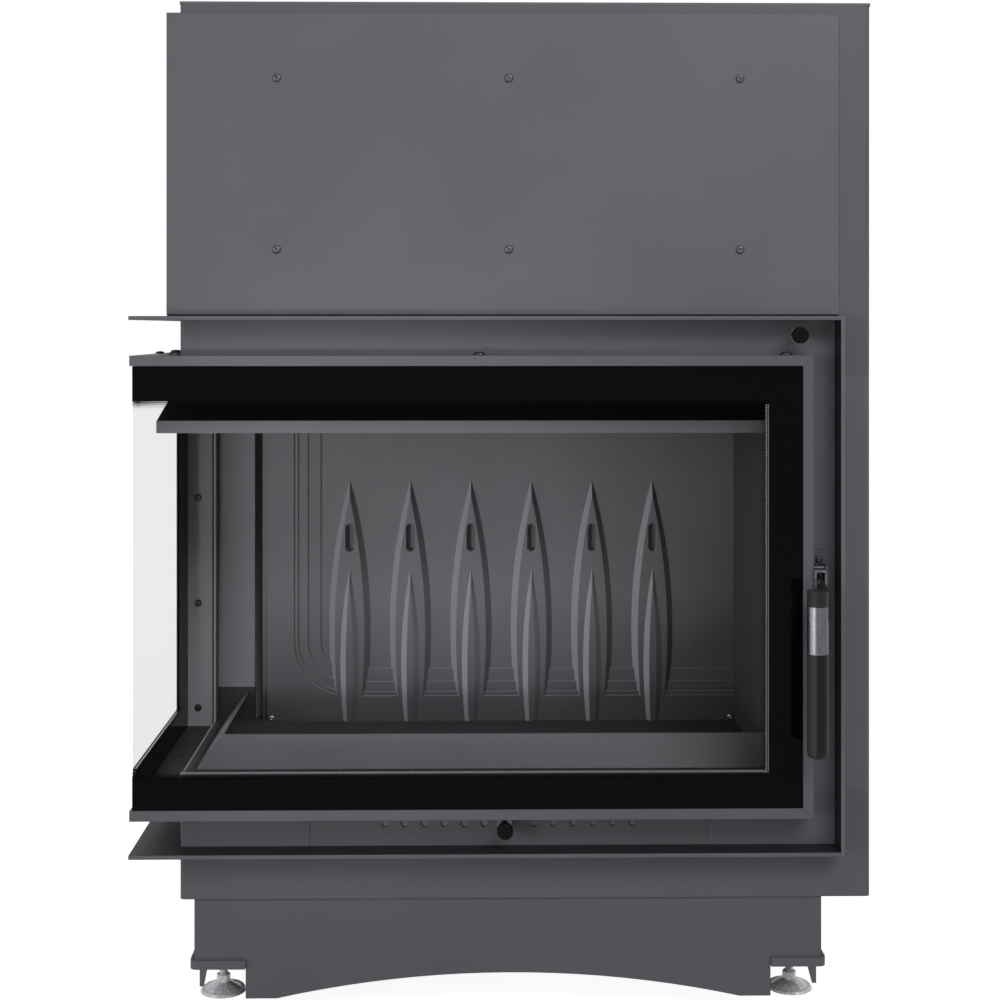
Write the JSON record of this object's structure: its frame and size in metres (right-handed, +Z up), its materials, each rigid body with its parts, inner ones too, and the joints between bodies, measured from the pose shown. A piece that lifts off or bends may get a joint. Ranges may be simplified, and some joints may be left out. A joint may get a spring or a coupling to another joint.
{
  "type": "fireplace insert",
  "caption": "Corner fireplace insert with an L-shaped glazed door on its front and left sides, a tall casing, a flue collar, an arched plinth and levelling feet.",
  "frame": {"origin": "middle of the part's bounding box, at the level of the feet's undersides", "axes": "+X to the right as seen from the front, +Y to the rear, +Z up; the door's large pane faces -Y"},
  "size_m": [0.937, 0.612, 1.3245],
  "materials": {
    "graphite_paint": "matte, fine texture",
    "shell_steel": "matte, dark",
    "cast_lining": "matte, fine grain",
    "zinc": "zinc plated",
    "steel": "brushed",
    "black_screw": "blackened",
    "lever_paint": "satin",
    "grip": "fine texture",
    "knob": "smooth",
    "ceramic_glass": "clear, with a dark printed edge",
    "rope": "woven glass fibre"
  },
  "bodies": {
    "body": {"upper_front": "graphite_paint", "right_column": "graphite_paint", "lower_front": "graphite_paint", "left_side_upper": "graphite_paint", "left_side_lower": "graphite_paint", "left_side_rear": "graphite_paint", "right_side": "graphite_paint", "rear_panel": "graphite_paint", "top_panel": "graphite_paint", "bottom_panel": "shell_steel", "casing_cover": "graphite_paint", "cover_screws": "steel", "upper_trim": "graphite_paint", "right_trim": "graphite_paint", "lower_trim": "graphite_paint", "vent_panel": "graphite_paint", "side_opening_frame": "graphite_paint", "firebox_rear": "shell_steel", "firebox_right": "shell_steel", "firebox_floor": "shell_steel", "throat_plate": "shell_steel", "smoke_dome": "shell_steel", "flue_collar": "shell_steel", "back_plate": "cast_lining", "right_lining": "cast_lining", "left_lining": "cast_lining", "sill_plate": "cast_lining", "hearth_plate": "cast_lining", "log_guard_front": "cast_lining", "log_guard_side": "cast_lining", "guard_bolts": "zinc", "baffle": "cast_lining", "air_box": "shell_steel", "air_spigot": "shell_steel", "plinth_front": "graphite_paint", "plinth_frame": "graphite_paint", "foot_brackets": "graphite_paint", "hinge_brackets": "shell_steel", "latch_keeper": "zinc", "control_bushes": "steel"},
    "door": {"door_frame_front": "graphite_paint", "door_frame_side": "graphite_paint", "front_retainers": "graphite_paint", "side_retainers": "graphite_paint", "front_glass": "ceramic_glass", "side_glass": "ceramic_glass", "door_seal": "rope", "door_screws": "black_screw", "door_knuckles": "shell_steel", "latch_bracket": "steel"},
    "handle": {"handle_lever": "lever_paint", "handle_ring": "steel", "handle_grip": "grip"},
    "damper_rod": {"damper_rod": "knob"},
    "damper_flap": {"damper_flap": "shell_steel"},
    "air_control": {"air_control": "knob"},
    "foot_front_left": {"foot_front_left": "zinc"},
    "foot_front_right": {"foot_front_right": "zinc"},
    "foot_rear_left": {"foot_rear_left": "zinc"},
    "foot_rear_right": {"foot_rear_right": "zinc"}
  },
  "joints": [
    {"name": "door_hinge", "type": "hinge", "parent": "body", "child": "door", "pos_m": [-0.4583, 0.169, 0.545], "axis": [0, 0, -1], "range_deg": [0, 95]},
    {"name": "handle_pivot", "type": "hinge", "parent": "door", "child": "handle", "pos_m": [0.3988, -0.242, 0.548], "axis": [-1, 0, 0], "range_deg": [-4, 30]},
    {"name": "damper_pull", "type": "slide", "parent": "body", "child": "damper_rod", "axis": [0, -1, 0], "range_m": [0, 0.036]},
    {"name": "damper_turn", "type": "hinge", "parent": "body", "child": "damper_flap", "pos_m": [0.007, 0.002, 0.9], "axis": [-1, 0, 0], "range_deg": [0, 49.6]},
    {"name": "air_pull", "type": "slide", "parent": "body", "child": "air_control", "axis": [0, -1, 0], "range_m": [0, 0.04]},
    {"name": "foot_front_left_screw", "type": "slide", "parent": "body", "child": "foot_front_left", "axis": [0, 0, -1], "range_m": [0, 0.025]},
    {"name": "foot_front_right_screw", "type": "slide", "parent": "body", "child": "foot_front_right", "axis": [0, 0, -1], "range_m": [0, 0.025]},
    {"name": "foot_rear_left_screw", "type": "slide", "parent": "body", "child": "foot_rear_left", "axis": [0, 0, -1], "range_m": [0, 0.025]},
    {"name": "foot_rear_right_screw", "type": "slide", "parent": "body", "child": "foot_rear_right", "axis": [0, 0, -1], "range_m": [0, 0.025]}
  ],
  "couplings": [
    {"joint": "damper_turn", "follows": "damper_pull", "rad_per_m": 24.02}
  ]
}
